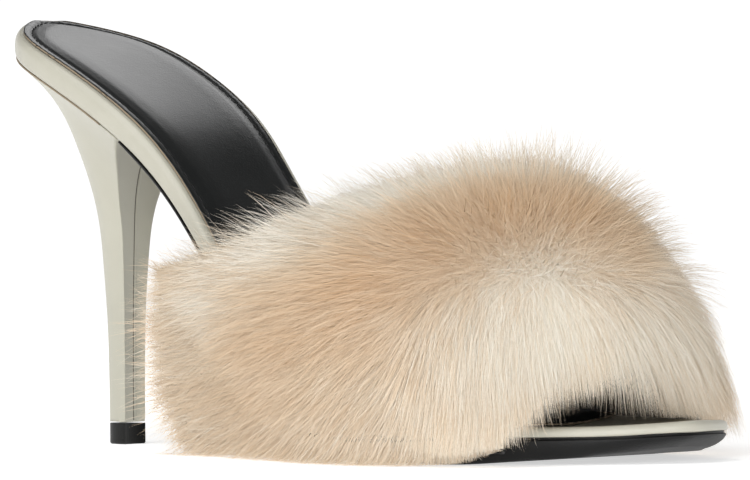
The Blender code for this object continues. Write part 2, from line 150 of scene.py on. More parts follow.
TONE_SPOTS = (
    # centre x, y, z, radius, tone
    (0.083, -0.045, 0.024, 0.018, 0.65),
    (0.105, -0.050, 0.031, 0.018, 0.70),
    (0.128, -0.048, 0.040, 0.017, 0.85),
    (0.093, -0.044, 0.056, 0.017, 0.00),
    (0.112, -0.033, 0.064, 0.017, 0.00),
    (0.132, -0.015, 0.068, 0.017, 0.00),
    (0.152, 0.004, 0.069, 0.015, 0.00),
    (0.075, -0.040, 0.036, 0.014, 0.10),
    (0.140, -0.038, 0.048, 0.013, 0.80),
    (0.146, -0.018, 0.055, 0.012, 0.88),
    (0.151, -0.002, 0.055, 0.011, 1.00),
    (0.157, 0.010, 0.049, 0.011, 0.85),
    (0.160, -0.030, 0.024, 0.018, 0.02),
    (0.157, -0.038, 0.010, 0.018, 0.16),
    (0.163, -0.020, 0.036, 0.012, 0.00),
    (0.166, 0.024, 0.026, 0.022, 0.08),
    (0.170, -0.003, 0.024, 0.018, 0.06),
)
FLOOR_GAP = 0.0003
INSOLE_TOP = 0.0092                # the hair over the toe opening rests on the footbed
HEM_RISE = 0.0045                  # how much higher the hair ends beside the toe
LINING_THICKNESS = 0.0008
LINING_GAP = 0.0002
LINING_EVENING = 12                # passes that even out its edge

# Twins of the CAD nodes
WELD_DISTANCE = 0.00001
TWIN_FACE_ANGLE = radians(30)
TWIN_SHAPE_ANGLE = radians(60)
TWIN_SHARP_ANGLE = radians(40)
TWIN_CREASE = 0.85


def new_material(name):
    material = bpy.data.materials.new(name)
    material.use_nodes = True
    return material, material.node_tree, material.node_tree.nodes["Principled BSDF"]


def add_node(tree, kind, **values):
    node = tree.nodes.new(kind)
    for key, value in values.items():
        if key in node.inputs:
            node.inputs[key].default_value = value
        else:
            setattr(node, key, value)
    return node


def ramp(tree, source, stops):
    """Colour ramp from a list of (place, colour)."""
    node = tree.nodes.new("ShaderNodeValToRGB")
    elements = node.color_ramp.elements
    while len(elements) < len(stops):
        elements.new(0.5)
    for element, (place, colour) in zip(elements, stops):
        element.position = place
        element.color = (*colour, 1.0)
    tree.links.new(source, node.inputs["Fac"])
    return node.outputs["Color"]


def leather(name, dark, light, roughness, grain_scale, grain_depth, coat=0.0, specular=0.5):
    """Smooth leather: two close tones in soft clouds, a fine pebble grain, uneven gloss."""
    material, tree, shader = new_material(name)
    place = tree.nodes.new("ShaderNodeTexCoord").outputs["Object"]
    clouds = add_node(tree, "ShaderNodeTexNoise", Scale=45.0, Detail=5.0, Roughness=0.6)
    tree.links.new(place, clouds.inputs["Vector"])
    tree.links.new(ramp(tree, clouds.outputs["Fac"], [(0.3, dark), (0.7, light)]),
                   shader.inputs["Base Color"])
    gloss = add_node(tree, "ShaderNodeMapRange", **{"To Min": roughness[0], "To Max": roughness[1]})
    tree.links.new(clouds.outputs["Fac"], gloss.inputs["Value"])
    tree.links.new(gloss.outputs["Result"], shader.inputs["Roughness"])
    grain = add_node(tree, "ShaderNodeTexVoronoi", Scale=grain_scale)
    tree.links.new(place, grain.inputs["Vector"])
    creases = add_node(tree, "ShaderNodeTexNoise", Scale=grain_scale / 6, Detail=6.0)
    tree.links.new(place, creases.inputs["Vector"])
    both = add_node(tree, "ShaderNodeMath", operation="ADD")
    tree.links.new(grain.outputs["Distance"], both.inputs[0])
    tree.links.new(creases.outputs["Fac"], both.inputs[1])
    bump = add_node(tree, "ShaderNodeBump", Strength=0.5, Distance=grain_depth)
    tree.links.new(both.outputs["Value"], bump.inputs["Height"])
    tree.links.new(bump.outputs["Normal"], shader.inputs["Normal"])
    shader.inputs["Coat Weight"].default_value = coat
    shader.inputs["Coat Roughness"].default_value = 0.25
    shader.inputs["Specular IOR Level"].default_value = specular
    return material


def thread(name, colour):
    material, tree, shader = new_material(name)
    place = tree.nodes.new("ShaderNodeTexCoord").outputs["Object"]
    twist = add_node(tree, "ShaderNodeTexNoise", Scale=2500.0, Detail=2.0)
    tree.links.new(place, twist.inputs["Vector"])
    darker = tuple(0.6 * c for c in colour)
    tree.links.new(ramp(tree, twist.outputs["Fac"], [(0.35, darker), (0.65, colour)]),
                   shader.inputs["Base Color"])
    shader.inputs["Roughness"].default_value = 0.6
    return material


def make_materials():
    return {
        "footbed": leather("cream_leather", (0.43, 0.415, 0.345), (0.48, 0.465, 0.39),
                           (0.30, 0.42), 2600.0, 0.00005, 0.10),
        # Lighter than the footbed's leather of the same cream: painted light that makes up for shade on the
        # heel, its breast most of all.
        "heel": leather("cream_heel_cover", (0.46, 0.445, 0.365), (0.505, 0.49, 0.405),
                        (0.36, 0.48), 2600.0, 0.00005, 0.05),
        "insock": leather("black_insock_leather", (0.008, 0.009, 0.009), (0.013, 0.014, 0.014),
                          (0.26, 0.34), 2200.0, 0.00006, 0.0, 0.7),
        "outsole": leather("black_sole_leather", (0.006, 0.006, 0.006), (0.010, 0.010, 0.010),
                           (0.40, 0.52), 1800.0, 0.00008, 0.0, 0.20),
        "heel_tip": leather("black_top_piece", (0.004, 0.004, 0.004), (0.008, 0.008, 0.007),
                            (0.30, 0.40), 1500.0, 0.00003, 0.0, 0.16),
        "raw_edge": leather("tan_raw_edge", (0.22, 0.17, 0.115), (0.30, 0.235, 0.16),
                            (0.6, 0.7), 2600.0, 0.00005),
        # Painted shade for the groove of the heel's breast seam.
        "seam": leather("seam_shadow", (0.10, 0.09, 0.07), (0.15, 0.135, 0.105),
                        (0.6, 0.7), 2600.0, 0.00005),
        "lining": leather("black_lining_leather", (0.006, 0.006, 0.006), (0.010, 0.010, 0.010),
                          (0.45, 0.55), 1800.0, 0.00006, 0.0, 0.2),
        "thread": thread("black_thread", (0.010, 0.010, 0.010)),
    }


def fur_material(name, stops, root_painted_shade, tip_painted_light):
    """Hair: tone chosen for each strand, darkened towards its root by painted shade and paled at its tip by
    painted light.
    """
    material, tree, shader = new_material(name)
    tone = add_node(tree, "ShaderNodeAttribute", attribute_name="tone")
    along = add_node(tree, "ShaderNodeAttribute", attribute_name="along")
    base = ramp(tree, tone.outputs["Fac"], stops)
    # Painted shade at the root and painted light at the tip: the tone is scaled by the share along the
    # strand.
    shade = add_node(tree, "ShaderNodeMapRange", **{"To Min": root_painted_shade, "To Max": tip_painted_light})
    tree.links.new(along.outputs["Fac"], shade.inputs["Value"])
    mixed = tree.nodes.new("ShaderNodeVectorMath")
    mixed.operation = "SCALE"
    tree.links.new(base, mixed.inputs[0])
    tree.links.new(shade.outputs["Result"], mixed.inputs["Scale"])
    tree.links.new(mixed.outputs["Vector"], shader.inputs["Base Color"])
    shader.inputs["Roughness"].default_value = 0.5
    shader.inputs["Specular IOR Level"].default_value = 0.25
    # Painted glow: the hair's own colour shines faintly, standing in for light scattered through the pile.
    tree.links.new(mixed.outputs["Vector"], shader.inputs["Emission Color"])
    shader.inputs["Emission Strength"].default_value = FUR_GLOW
    return material


# Smooth twins of the CAD nodes

def twin(node, levels, name=None, crease=TWIN_CREASE):
    """Subdivided copy of a CAD node: its welded quads, creased along its sharp edges."""
    bm = bmesh.new()
    bm.from_mesh(node.data)
    bmesh.ops.remove_doubles(bm, verts=bm.verts, dist=WELD_DISTANCE)
    bmesh.ops.join_triangles(bm, faces=bm.faces, angle_face_threshold=TWIN_FACE_ANGLE,
                             angle_shape_threshold=TWIN_SHAPE_ANGLE)
    layer = bm.edges.layers.float.new("crease_edge")
    for edge in bm.edges:
        if len(edge.link_faces) == 2 and edge.calc_face_angle(0.0) > TWIN_SHARP_ANGLE:
            edge[layer] = crease
    mesh = bpy.data.meshes.new("twin")
    bm.to_mesh(mesh)
    bm.free()
    piece = link(bpy.data.objects.new(name or node.name + "_shape", mesh))
    subdivision = piece.modifiers.new("smooth", "SUBSURF")
    subdivision.levels = levels
    graph = bpy.context.evaluated_depsgraph_get()
    made = bpy.data.meshes.new_from_object(piece.evaluated_get(graph))
    piece.modifiers.clear()
    piece.data = made
    made.shade_smooth()
    return piece


def link(piece):
    bpy.context.scene.collection.objects.link(piece)
    return piece


def points_of(mesh):
    found = np.empty(len(mesh.vertices) * 3, np.float32)
    mesh.vertices.foreach_get("co", found)
    return found.reshape(-1, 3).astype(float)


def normals_of(mesh):
    found = np.empty(len(mesh.vertices) * 3, np.float32)
    mesh.vertices.foreach_get("normal", found)
    return found.reshape(-1, 3).astype(float)


def unit(v):
    return v / np.maximum(np.linalg.norm(v, axis=-1, keepdims=True), 1e-9)


def mesh_piece(name, points, faces, materials, indices=None):
    mesh = bpy.data.meshes.new(name)
    mesh.from_pydata([tuple(p) for p in points], [], faces)
    for material in materials:
        mesh.materials.append(material)
    if indices is not None:
        mesh.polygons.foreach_set("material_index", indices)
    mesh.shade_smooth()
    return link(bpy.data.objects.new(name, mesh))


def bvh_of(piece):
    return BVHTree.FromObject(piece, bpy.context.evaluated_depsgraph_get())


def outline_of(mesh):
    """Closed outline of a flat piece as (x, y) rows, evenly spaced, front to rear to front."""
    co = points_of(mesh)
    ends = np.empty(len(mesh.edges) * 2, np.int32)
    mesh.edges.foreach_get("vertices", ends)
    a, b = co[ends[0::2]], co[ends[1::2]]
    rear, front = co[:, 0].min(), co[:, 0].max()
    steps = 400
    low, high = [], []
    for k in range(1, steps):
        x = rear + (front - rear) * (1 - cos(pi * k / steps)) / 2
        cut = (a[:, 0] - x) * (b[:, 0] - x) < 0
        share = (x - a[cut, 0]) / (b[cut, 0] - a[cut, 0])
        y = a[cut, 1] + share * (b[cut, 1] - a[cut, 1])
        low.append((x, y.min()))
        high.append((x, y.max()))
    rear_y = co[np.argmin(co[:, 0]), 1]
    front_y = co[np.argmax(co[:, 0]), 1]
    loop = np.array([(front, front_y)] + low[::-1] + [(rear, rear_y)] + high + [(front, front_y)])
    run = np.append(0, np.cumsum(np.linalg.norm(np.diff(loop, axis=0), axis=1)))
    count = int(run[-1] / OUTLINE_STEP)
    even = np.arange(count) / count * run[-1]
    loop = np.stack([np.interp(even, run, loop[:, 0]), np.interp(even, run, loop[:, 1])], 1)
    reach = 3 * OUTLINE_SOFTNESS
    weight = np.exp(-0.5 * (np.arange(-reach, reach + 1) / OUTLINE_SOFTNESS) ** 2)
    weight /= weight.sum()
    return sum(w * np.roll(loop, reach - k, axis=0) for k, w in enumerate(weight))


def inward_of(loop):
    """Unit vectors into a closed outline that runs front, lateral, rear, medial."""
    run = np.roll(loop, -1, axis=0) - np.roll(loop, 1, axis=0)
    inward = np.stack([run[:, 1], -run[:, 0]], 1)
    inward = unit(inward)
    middle = loop.mean(axis=0)
    if np.einsum("ij,ij->i", inward, middle - loop).mean() < 0:
        inward = -inward
    return inward


def drop(tree, x, y, down=True):
    """Height of a surface above or below a point of the plan, from its BVH tree."""
    start = Vector((x, y, 1.0 if down else -1.0))
    hit = tree.ray_cast(start, Vector((0, 0, -1 if down else 1)))
    return hit[0].z if hit[0] else None


def filled(values):
    """Heights with the missing ones taken from their neighbours along the run."""
    found = np.array([np.nan if v is None else v for v in values], float)
    good = ~np.isnan(found)
    spots = np.arange(len(found))
    return np.interp(spots, spots[good], found[good])


def band_along(name, points, across, upward, width, depth, material, closed):
    """A slim strip along a run of points: width on the surface, depth out of it."""
    corners = [(-0.5, 0.0), (-0.3, 1.0), (0.3, 1.0), (0.5, 0.0)]
    rows = [points + across * (width * a) + upward * (depth * b) for a, b in corners]
    count = len(points)
    block = np.stack(rows, 1).reshape(-1, 3)
    faces = []
    for k in range(count if closed else count - 1):
        here, there = 4 * k, 4 * ((k + 1) % count)
        for c in range(4):
            d = (c + 1) % 4
            faces.append((here + c, here + d, there + d, there + c))
    return mesh_piece(name, block, faces, [material])


# Insock

def sink_at(outward):
    """How far the rim sinks, from the y part of the way out of the insock: most on the inner side."""
    share = smoothstep(outward, -0.95, 0.95)
    return INSOCK_SINK * (INSOCK_SINK_OUTER + (1 - INSOCK_SINK_OUTER) * share)


def insock_lift(inset, run, rim_sink):
    """Height over the plain insock at a distance from its edge and a place along that edge."""
    edge = -INSOCK_EDGE_DROP * np.clip(1 - inset / INSOCK_EDGE_ROUND, 0, 1) ** 2
    groove = -GROOVE_DEPTH * np.exp(-((inset - STITCH_INSET) / GROOVE_WIDTH) ** 2)
    pad_share = np.clip((inset - STITCH_INSET) / PAD_REACH, 0, 1)
    pad = PAD_RISE * pad_share * pad_share * (3 - 2 * pad_share)
    waves = np.sin(run * 2 * pi / STITCH_PITCH) + 0.6 * np.sin(run * 2 * pi / (STITCH_PITCH * 2.7))
    window = np.exp(-((inset - 0.6 * STITCH_INSET) / (0.6 * STITCH_INSET)) ** 2)
    sink = -rim_sink * (1 - smoothstep(inset, STITCH_INSET, INSOCK_SINK_REACH))
    return edge + groove + pad + sink + PUCKER_DEPTH * waves * window


def make_insock(node, materials):
    shape = twin(node, 3)
    tree = bvh_of(shape)
    loop = outline_of(shape.data)
    inward = inward_of(loop)
    loop = loop + inward * (INSOCK_TRIM * np.clip(-inward[:, 1], 0, 1))[:, None]
    nearest = KDTree(len(loop))
    for i, (x, y) in enumerate(loop):
        nearest.insert((x, y, 0), i)
    nearest.balance()
    rear, front = loop[:, 0].min(), loop[:, 0].max()
    first, last = int(loop[:, 0].argmax()), int(loop[:, 0].argmin())
    ring = np.roll(loop, -first, axis=0)
    turn = (last - first) % len(loop)
    sides = ring[:turn + 1], ring[turn:]
    low_side, high_side = sorted(sides, key=lambda side: side[:, 1].mean())
    low_side = low_side[np.argsort(low_side[:, 0])]
    high_side = high_side[np.argsort(high_side[:, 0])]
    rows = []
    for k in range(INSOCK_ROWS + 1):
        x = rear + (front - rear) * (1 - cos(pi * (k + 0.35) / (INSOCK_ROWS + 0.7))) / 2
        low = np.interp(x, low_side[:, 0], low_side[:, 1])
        high = np.interp(x, high_side[:, 0], high_side[:, 1])
        share = (1 - np.cos(pi * np.arange(INSOCK_COLUMNS + 1) / INSOCK_COLUMNS)) / 2
        rows.append(np.stack([np.full(len(share), x), low + (high - low) * share], 1))
    plan = np.array(rows)
    inset = np.empty(plan.shape[:2])
    run = np.empty(plan.shape[:2])
    outward = np.empty(plan.shape[:2])
    for k, row in enumerate(plan):
        for j, (x, y) in enumerate(row):
            _, index, distance = nearest.find((x, y, 0))
            inset[k, j] = distance
            run[k, j] = index * OUTLINE_STEP
            outward[k, j] = -inward[index, 1]
    height = np.empty(plan.shape[:2])
    for k, row in enumerate(plan):
        low, high = row[0, 1], row[-1, 1]
        middle = (low + high) / 2
        x = min(max(row[0, 0], rear + INSOCK_SURE), front - INSOCK_SURE)
        ys = np.clip(row[:, 1], min(low + INSOCK_SURE, middle), max(high - INSOCK_SURE, middle))
        height[k] = filled([drop(tree, x, y) for y in ys])
    for _ in range(HEIGHT_SMOOTHING):
        height[:, 1:-1] = (height[:, :-2] + 2 * height[:, 1:-1] + height[:, 2:]) / 4
        height[1:-1] = (height[:-2] + 2 * height[1:-1] + height[2:]) / 4
    for _ in range(OUTWARD_SMOOTHING):
        outward[:, 1:-1] = (outward[:, :-2] + 2 * outward[:, 1:-1] + outward[:, 2:]) / 4
    top = np.concatenate([plan, (height + insock_lift(inset, run, sink_at(outward)))[..., None]], 2)
    slope_x = np.gradient(height.mean(axis=1), plan[:, 0, 0])
    tilt = np.sqrt(1 + slope_x ** 2)
    across = INSOCK_COLUMNS + 1
    faces = []
    for k in range(INSOCK_ROWS):
        for j in range(INSOCK_COLUMNS):
            here = k * across + j
            faces.append((here, here + across, here + across + 1, here + 1))
    points = list(top.reshape(-1, 3))
    edge = [(0, j) for j in range(across)] + [(k, across - 1) for k in range(1, INSOCK_ROWS + 1)]
    edge += [(INSOCK_ROWS, j) for j in range(across - 2, -1, -1)]
    edge += [(k, 0) for k in range(INSOCK_ROWS - 1, 0, -1)]
    indices = [0] * len(faces)
    upper = [k * across + j for k, j in edge]
    for depth, slot in ((0.55, 0), (0.95, 1)):
        ring_start = len(points)
        for k, j in edge:
            x, y, z = top[k, j]
            points.append((x, y, height[k, j] - INSOCK_THICKNESS * depth * tilt[k]))
        lower = list(range(ring_start, len(points)))
        for i in range(len(edge)):
            n = (i + 1) % len(edge)
            faces.append((upper[i], upper[n], lower[n], lower[i]))
            indices.append(slot)
        upper = lower
    piece = mesh_piece("insock_leather", points, faces,
                       [materials["insock"], materials["raw_edge"]], indices)
    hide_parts(node.name)
    stitches = make_stitches(loop, inward, tree, rear, materials["thread"])
    bpy.data.objects.remove(shape)
    return [piece, stitches]


def make_stitches(loop, inward, tree, rear, material):
    """One joined mesh of short threads that lie in the groove, each end sunk into the leather."""
    points, faces = [], []
    total = len(loop) * OUTLINE_STEP
    spots = np.arange(len(loop)) * OUTLINE_STEP
    for k in range(int(total / STITCH_PITCH)):
        ring_starts = []
        for share, size in ((-0.5, 0.35), (-0.3, 1.0), (0.0, 1.15), (0.3, 1.0), (0.5, 0.35)):
            run = k * STITCH_PITCH + share * STITCH_LENGTH + STITCH_PITCH / 2
            index = int(run / OUTLINE_STEP) % len(loop)
            x = np.interp(run, spots, loop[:, 0] + inward[:, 0] * STITCH_INSET)
            y = np.interp(run, spots, loop[:, 1] + inward[:, 1] * STITCH_INSET)
            z = drop(tree, x, y)
            if z is None:
                break
            z -= GROOVE_DEPTH * 0.9 + sink_at(-inward[index, 1])
            z += (size - 0.6) * STITCH_WIDTH * 0.5
            side = np.array((inward[index, 0], inward[index, 1], 0.0))
            ring_starts.append(len(points))
            for c in range(6):
                angle = c * pi / 3
                offset = side * cos(angle) * STITCH_WIDTH * size / 2
                points.append(np.array((x, y, z + sin(angle) * STITCH_WIDTH * size / 2)) + offset)
        if len(ring_starts) < 5:
            continue
        for a, b in zip(ring_starts, ring_starts[1:]):
            for c in range(6):
                d = (c + 1) % 6
                faces.append((a + c, a + d, b + d, b + c))
        faces.append(tuple(ring_starts[0] + c for c in range(6)))
        faces.append(tuple(ring_starts[-1] + c for c in range(5, -1, -1)))
    used = {i for face in faces for i in face}
    order = {i: n for n, i in enumerate(sorted(used))}
    return mesh_piece("insock_stitches", [points[i] for i in sorted(used)],
                      [tuple(order[i] for i in face) for face in faces], [material])


# Seams and fine lines

def make_breast_seam(heel_shape, tip_top, seat_height, materials):
    """The line where the heel cover meets, down the middle of the breast: a dark strip of painted shade for
    the seam's groove, and a raised fold of the cover beside it.
    """
    tree = bvh_of(heel_shape)
    points, normals = [], []
    z = tip_top + BREAST_SEAM_STEP / 2
    while z < seat_height:
        hit = tree.ray_cast(Vector((0.06, 0.0, z)), Vector((-1, 0, 0)))
        if hit[0]:
            points.append(hit[0])
            normals.append(hit[1])
        z += BREAST_SEAM_STEP
    points = np.array([tuple(p) for p in points])
    normals = np.array([tuple(n) for n in normals])
    points = points[points[:, 0] < 0.03]
    normals = normals[:len(points)]
    across = np.tile((0.0, 1.0, 0.0), (len(points), 1))
    line = band_along("breast_seam", points - normals * SEAM_DEPTH * 0.4, across, normals,
                      SEAM_WIDTH, SEAM_DEPTH, materials["seam"], False)
    fold = band_along("breast_fold", points + across * SEAM_WIDTH * 1.6 - normals * SEAM_DEPTH,
                      across, normals, SEAM_WIDTH * 3.2, SEAM_DEPTH * 2.0, materials["heel"],
                      False)
    return [line, fold]


def make_under_line(name, shape, loop, keep, inset, gap_drop, width, depth, material):
    """A strip that closes the gap under a slab, following its lower edge."""
    tree = bvh_of(shape)
    inward = inward_of(loop)
    runs = loop[keep] + inward[keep] * 0.0012
    z = filled([drop(tree, x, y, down=False) for x, y in runs])
    spots = loop[keep] + inward[keep] * inset
    points = np.column_stack([spots, z - gap_drop])
    out = np.column_stack([-inward[keep], np.zeros(len(spots))])
    across = np.tile((0.0, 0.0, 1.0), (len(points), 1))
    return band_along(name, points, across, out, width, depth, material, False)


# Fur

def surface_samples(mesh, count, rng, weights):
    """Random points on a mesh, as places and smooth normals."""
    mesh.calc_loop_triangles()
    corners = np.empty(len(mesh.loop_triangles) * 3, np.int32)
    mesh.loop_triangles.foreach_get("vertices", corners)
    corners = corners.reshape(-1, 3)
    co, no = points_of(mesh), normals_of(mesh)
    a, b, c = co[corners[:, 0]], co[corners[:, 1]], co[corners[:, 2]]
    area = np.linalg.norm(np.cross(b - a, c - a), axis=1) * weights[corners].mean(axis=1)
    pick = rng.choice(len(area), count, p=area / area.sum())
    u, v = rng.random(count), rng.random(count)
    over = u + v > 1
    u[over], v[over] = 1 - u[over], 1 - v[over]
    shares = np.stack([1 - u - v, u, v], 1)[:, :, None]
    tri = corners[pick]
    return (co[tri] * shares).sum(axis=1), unit((no[tri] * shares).sum(axis=1))


def grows_fur(mesh):
    """1 where hair grows, 0 on the face that lines the foot."""
    co, no = points_of(mesh), normals_of(mesh)
    y, z = FOOT_MIDDLE
    centre = np.stack([co[:, 0], np.full(len(co), y), np.full(len(co), z + 0.01)], 1)
    inward = np.einsum("ij,ij->i", no, unit(centre - co))
    fringe = lip_at(co) * smoothstep(co[:, 1], -0.008, 0.0) * smoothstep(-co[:, 1], -0.034, -0.026)
    return (inward < 0.35) * (1 + PARTING_DENSITY * ruffle_at(co) + FRINGE_DENSITY * fringe)


def ruffle_at(place):
    """Share of the fur that stands up, near the parting."""
    y, z = place[:, 1] - FOOT_MIDDLE[0], place[:, 2] - FOOT_MIDDLE[1]
    around = FOOT_RADIUS * (np.arctan2(y, z) - PARTING_ANGLE)
    return np.exp(-((place[:, 0] - PARTING_X) ** 2 + around ** 2) / PARTING_SOFTNESS ** 2)


def smoothstep(values, low, high):
    share = np.clip((values - low) / (high - low), 0, 1)
    return share * share * (3 - 2 * share)


def flow_at(place, normal, rng):
    """Direction in which the hair lies: away from the parting, and down over the lower edges."""
    y, z = place[:, 1] - FOOT_MIDDLE[0], place[:, 2] - FOOT_MIDDLE[1]
    angle = np.arctan2(y, z)
    ahead = place[:, 0] - PARTING_X
    round_foot = FOOT_RADIUS * (angle - PARTING_ANGLE)
    strength = 1 / np.sqrt(ahead ** 2 + round_foot ** 2 + PARTING_SOFTNESS ** 2)
    turned = np.stack([np.zeros(len(y)), np.cos(angle), -np.sin(angle)], 1)
    flow = turned * (round_foot * strength)[:, None]
    flow[:, 0] += ahead * strength
    lip = lip_at(place)
    flow[:, 2] -= 1.3 * lip + 0.06 + 0.40 * ruffle_at(place)
    flow[:, 0] += 0.25 * lip
    for number, wave in enumerate((180.0, 330.0, 520.0)):
        sway = np.sin(place[:, 0] * wave + number) * np.cos(place[:, 1] * wave * 0.9 + 2 * number)
        flow += 0.10 * sway[:, None] * np.cross(normal, flow)
    spread = FLOW_SPREAD * (1 + 0.5 * ruffle_at(place) + 0.6 * lip + 1.2 * rear_at(place))
    flow += rng.normal(0, 1, flow.shape) * spread[:, None]
    flow -= normal * np.minimum(np.einsum("ij,ij->i", flow, normal), 0)[:, None]
    length = np.linalg.norm(flow, axis=1, keepdims=True)
    return flow / np.maximum(length, 0.5)


def lip_at(place):
    """Share of the fur that hangs over the toe opening."""
    return smoothstep(place[:, 0], 0.140, 0.155) * smoothstep(-place[:, 2], -0.044, -0.035)


def depth_at(place):
    """How far below the CAD surface the dense underfur ends."""
    inner = smoothstep(place[:, 1], 0.004, 0.026) * smoothstep(place[:, 0], 0.135, 0.160)
    throat = smoothstep(place[:, 2], 0.036, 0.050) * smoothstep(-place[:, 0], -0.135, -0.115)
    depth = PELT_DEPTH + PELT_DEPTH_INNER * inner + PELT_DEPTH_THROAT * throat
    return depth * (1 - 0.6 * ruffle_at(place)) * (1 - 0.6 * corner_at(place))


def rear_at(place):
    """Share of the fur along the rear edges of the band."""
    return smoothstep(-place[:, 0], -0.092, -0.062)


def corner_at(place):
    """Share of the two top corners at the rear of the band."""
    return smoothstep(-place[:, 0], -0.068, -0.052) * smoothstep(place[:, 2], 0.032, 0.044)


def patches_at(place):
    """From -1 to 1: tufts of longer and shorter hair."""
    total = np.zeros(len(place))
    for number, wave in enumerate(PATCH_WAVES):
        turned = place @ np.array([cos(number), sin(number) * 0.7, 0.7 + 0.2 * number])
        total += np.sin(turned * wave + 2 * number) * np.cos(place[:, number % 3] * wave)
    return total / len(PATCH_WAVES)


def loft_at(place):
    """How much the hair stands away from the skin: little at the rear, much at the crest."""
    base = 0.55 + 0.45 * smoothstep(place[:, 0], 0.090, 0.145) + 0.45 * rear_at(place)
    base += 0.35 * smoothstep(place[:, 1], 0.0, 0.020)
    crest = smoothstep(place[:, 0], 0.128, 0.146) * smoothstep(place[:, 2], 0.044, 0.058)
    crest *= 1 - 0.75 * smoothstep(place[:, 1], 0.004, 0.014)
    inner = smoothstep(place[:, 1], 0.014, 0.032) * smoothstep(place[:, 0], 0.135, 0.160)
    loft = np.clip(base + 1.5 * crest + 0.3 * inner, 0.2, 2.5)
    return loft * (1 - 0.45 * ruffle_at(place)) * (1 - 0.5 * corner_at(place))


def tone_at(place):
    """Share of tan in the fur's colour."""
    tone = np.full(len(place), FUR_TONE)
    for x, y, z, radius, target in TONE_SPOTS:
        distance = np.linalg.norm(place - np.array((x, y, z)), axis=1)
        tone += (target - tone) * np.exp(-(distance / radius) ** 2)
    return tone


def write_attribute(mesh, name, values):
    mesh.attributes.new(name, "FLOAT", "POINT").data.foreach_set("value", values.astype(np.float32))


def strands(name, band, weights, kind, rng, material):
    """A joined mesh of tapering strands that grow from below the band's outer face."""
    count, segments = kind["count"], kind["segments"]
    place, normal = surface_samples(band, count, rng, weights)
    flow = flow_at(place, normal, rng)
    lip = lip_at(place)
    throat = smoothstep(place[:, 2], 0.036, 0.050) * smoothstep(-place[:, 0], -0.125, -0.095)
    loft = loft_at(place) + kind["stray"] * throat
    rim = smoothstep(np.einsum("ij,ij->i", flow, normal), 0.25, 0.8) * (1 - lip)
    lengths = kind["length"] * rng.uniform(0.7, 1.15, count)
    lengths *= (0.7 + 0.3 * loft) * (1 - kind["rim"] * rim)
    ends = LIP_END_LATERAL + (LIP_END_MEDIAL - LIP_END_LATERAL) * smoothstep(place[:, 1], -0.007, 0.002)
    ends *= smoothstep(place[:, 1], -0.036, -0.022)
    hang = np.clip(place[:, 2] - ends, 0.006, 0.027) * rng.uniform(0.7, 1.2, count)
    lengths += (hang - lengths) * lip
    lengths *= (1 + PATCHES * patches_at(place)) * (1 - 0.25 * ruffle_at(place))
    lengths *= 1 - 0.45 * corner_at(place)
    lengths *= 1 - 0.35 * smoothstep(-place[:, 0], -0.070, -0.050) * smoothstep(-place[:, 2], -0.014, -0.004)
    path = [place - normal * (depth_at(place) * 1.15)[:, None]]
    for k in range(segments):
        share = k / (segments - 1)
        lift = kind["lift"][0] * (1 - share) + kind["lift"][1] * share
        lift = (lift * loft * rng.uniform(0.8, 1.2, count) + (1 - share) * 0.3) * (1 - 0.75 * lip)
        heading = normal * lift[:, None] + flow
        heading[:, 2] -= 0.8 * share * lip
        path.append(path[-1] + unit(heading) * (lengths / segments)[:, None])
    path = np.stack(path, 1)
    seeds = max(count // kind["clump"], 1)
    tree = KDTree(seeds)
    for i in range(seeds):
        tree.insert(place[i], i)
    tree.balance()
    leader = np.array([tree.find(p)[1] for p in place])
    pull = kind["pull"] * (np.arange(segments + 1) / segments) ** 1.5
    path += (path[leader] - path) * pull[None, :, None]
    lowest = FLOOR_GAP + HEM_RISE * smoothstep(place[:, 0], 0.145, 0.165)
    over = smoothstep(place[:, 1], -0.034, -0.026) * smoothstep(-place[:, 1], -0.030, -0.024)
    lowest += (INSOLE_TOP - lowest) * over * (lip > 0.2)
    path[:, :, 2] = np.maximum(path[:, :, 2], lowest[:, None])
    tangent = unit(path[:, -1] - path[:, 0])
    flat = unit(np.cross(normal, tangent))
    proud = np.cross(tangent, flat)
    roll = rng.normal(0, kind["roll"], count)[:, None]
    sideways = flat * np.cos(roll) + proud * np.sin(roll)
    widths = kind["width"] * rng.uniform(0.7, 1.3, count)
    taper = 1 - 0.7 * (np.arange(segments) / segments) ** 1.5
    half = sideways[:, None] * (widths[:, None] * taper / 2)[:, :, None]
    pairs = np.stack([path[:, :-1] - half, path[:, :-1] + half], 2).reshape(count, -1, 3)
    block = np.concatenate([pairs, path[:, -1:]], 1)
    per = 2 * segments + 1
    faces = []
    for k in range(segments - 1):
        faces += [(2 * k, 2 * k + 3, 2 * k + 1), (2 * k, 2 * k + 2, 2 * k + 3)]
    faces.append((2 * segments - 2, 2 * segments, 2 * segments - 1))
    corner = (np.arange(count)[:, None, None] * per + np.array(faces)[None]).reshape(-1, 3)
    mesh = bpy.data.meshes.new(name)
    mesh.vertices.add(count * per)
    mesh.vertices.foreach_set("co", block.reshape(-1).astype(np.float32))
    mesh.loops.add(corner.size)
    mesh.loops.foreach_set("vertex_index", corner.reshape(-1).astype(np.int32))
    mesh.polygons.add(len(corner))
    mesh.polygons.foreach_set("loop_start", np.arange(0, corner.size, 3, dtype=np.int32))
    mesh.update(calc_edges=True)
    streak = rng.normal(0, 0.10, count) + TONE_STREAKS * patches_at(place)
    tone = tone_at(block.reshape(-1, 3)) + np.repeat(streak, per)
    write_attribute(mesh, "tone", np.clip(tone, 0, 1))
    # Share along the strand, which the hair's material turns into painted shade at the root and painted
    # light at the tip; near the parting the painted root shade is taken away.
    along = np.tile(np.append(np.repeat(np.arange(segments) / segments, 2), 1.0), count)
    write_attribute(mesh, "along", np.maximum(along, np.repeat(ruffle_at(place), per)))
    mesh.shade_smooth()
    soft = unit(normal * HAIR_SOFTNESS + np.cross(tangent, sideways) * (1 - HAIR_SOFTNESS))
    mesh.normals_split_custom_set_from_vertices(np.repeat(soft, per, axis=0))
    mesh.materials.append(material)
    return link(bpy.data.objects.new(name, mesh))


